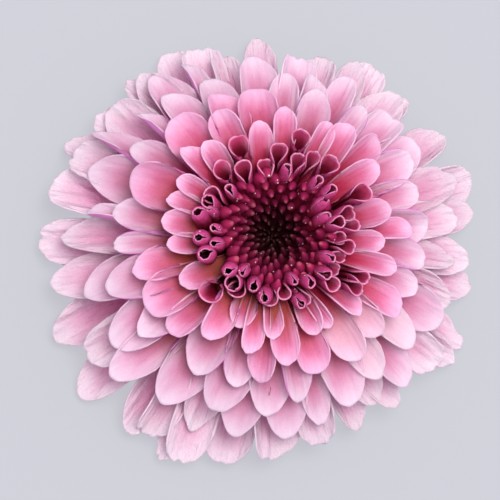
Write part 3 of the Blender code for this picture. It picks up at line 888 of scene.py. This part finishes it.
# The bracts: two rows of short pointed scales, leathery and dull green with a thin dry margin,
# that cup the head from below. They sit on the receptacle's rim.
bract_face = petal_look(
    "bract_face",
    tip=(0.16, 0.18, 0.05), body=(0.15, 0.23, 0.06), throat=(0.30, 0.36, 0.14),
    rim=((0.34, 0.28, 0.14), 0.8), clears=(0.1, 0.5), roughness=0.55, veins=0.35, mottle=0.25,
    through=0.05)
BRACT_THICK = 0.0004
BRACTS_IN_ROW = 12
# Each row: its node, its scales' radius and height in mm from foot to tip, its turn, their width
BRACT_ROWS = (
    ("bract_row_upper", ((5.6, 5.2), (7.3, 5.9), (8.2, 6.5), (10.4, 7.0)), 0.0, 4.2),
    ("bract_row_lower", ((4.4, 4.0), (6.9, 5.0), (8.0, 5.6), (9.6, 6.0)), math.pi / 12, 3.7),
)
for node, profile, turn, width in BRACT_ROWS:
    shape = bmesh.new()
    for i in range(BRACTS_IN_ROW):
        dice = random.Random(node + str(i))
        blade(
            shape, profile, turn + 2 * math.pi * i / BRACTS_IN_ROW, profile[-1][0], width,
            cols=12, rows=14, opens=(0.0, 0.4), tube=0.9, turn=1.0, foot=0.7, widens=0.0,
            widest=0.5, cap=2.0, power=1.5, crease=-0.25, ragged=0.05, tone=dice.random(),
            lift=dice.uniform(-0.1, 0.1), roll=dice.uniform(-0.08, 0.08))
    made = piece(node + "_scales", shape, (bract_face, bract_face), (node,))
    thicken(made, BRACT_THICK)


# The stalk stub: green, faintly ribbed, flared into the head and cut square; the cut shows a
# darker skin, a pale ring of fibres and white pith.
STALK_RADIUS = 2.4
STALK_HIGH = 5
CUT_RADIUS = 2.38
RIBS = 9
RIB_DEPTH = 0.03
# Radius and height in mm, from the middle of the cut up to the head
STALK_OUTLINE = (
    (0, 0.15), (1.0, 0.10), (1.7, 0.03), (2.2, 0.0), (2.36, 0.06), (2.4, 0.25),
    (2.4, 1.2), (2.42, 2.6), (2.75, 3.8), (3.4, 4.5), (4.2, 5.0), (0, 5.05),
)
SKIN_DARK = (0.13, 0.22, 0.05)
SKIN_LIGHT = (0.30, 0.38, 0.13)
PITH_WHITE = (0.72, 0.72, 0.52)
FIBRE_GREEN = (0.42, 0.50, 0.20)
CUT_SKIN = (0.16, 0.24, 0.06)
stalk_look = Look("stalk_green", Roughness=0.55)
from_middle, upward, round_share, _ = petal_places(stalk_look)
fibre = stalk_look.noise(stalk_look.combined(round_share * 60, upward * 4), 1.0, 3.0)
grain = stalk_look.noise(stalk_look.place(), 1400.0, 4.0)
skin = stalk_look.mix(fibre, SKIN_DARK, SKIN_LIGHT)
ring = stalk_look.ramp(from_middle + (grain - 0.5) * 0.1, 0.55, 0.72)
cut = stalk_look.mix(ring, PITH_WHITE, FIBRE_GREEN)
cut = stalk_look.mix(stalk_look.ramp(from_middle, 0.88, 0.95), cut, CUT_SKIN)
stalk_look.feed(Base_Color=stalk_look.mix(upward > 0.01, cut, skin),
                Normal=stalk_look.bump(fibre + grain * 0.5, 0.5, 0.00015))
shape = bmesh.new()
petal = shape.verts.layers.float_color.new("petal")
last = len(STALK_OUTLINE) - 1
grid = bmesh.ops.create_grid(shape, x_segments=90, y_segments=last, size=1.0)
for spot in grid["verts"]:
    radius, z = STALK_OUTLINE[round((spot.co.y + 1) / 2 * last)]
    around = math.pi * spot.co.x
    share = (spot.co.x + 1) / 2
    height = 0.0 if radius < CUT_RADIUS else 0.02 + z / STALK_HIGH
    out = radius * (1 - RIB_DEPTH * (1 - math.cos(RIBS * around)) / 2 * smooth(z, 0.1, 0.6))
    spot.co = axis + Vector((out * math.cos(around), out * math.sin(around), z)) * MM
    spot[petal] = (radius / STALK_RADIUS, height, share, 0.0)
bmesh.ops.remove_doubles(shape, verts=shape.verts, dist=2 * MERGE)
bmesh.ops.recalc_face_normals(shape, faces=shape.faces)
piece("stalk_stub", shape, (stalk_look,), ("peduncle",))


# The receptacle: the finely pitted core that all florets stand on, pale green where it meets the
# bracts and dark red between the floret feet. It keeps its CAD shape.
CORE_GREEN = (0.40, 0.46, 0.20)
CORE_PALE = (0.62, 0.66, 0.38)
CORE_RED = (0.20, 0.04, 0.05)
RED_FROM_Z = 0.008
RED_ABOVE_Z = 0.012
core_look = Look("receptacle_green", Roughness=0.7)
pits = core_look.noise(core_look.place(), 700.0, 4.0)
spot = core_look.node("ShaderNodeSeparateXYZ", {}, {"Vector": core_look.place()})
reddened = core_look.ramp(spot["Z"], RED_FROM_Z, RED_ABOVE_Z)
green = core_look.mix(pits, CORE_GREEN, CORE_PALE)
core_look.feed(Base_Color=core_look.mix(reddened, green, CORE_RED),
               Normal=core_look.bump(pits, 0.5, 0.0002))
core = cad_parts["receptacle"].data
core.materials.clear()
core.materials.append(core_look.material)

bpy.context.view_layer.update()
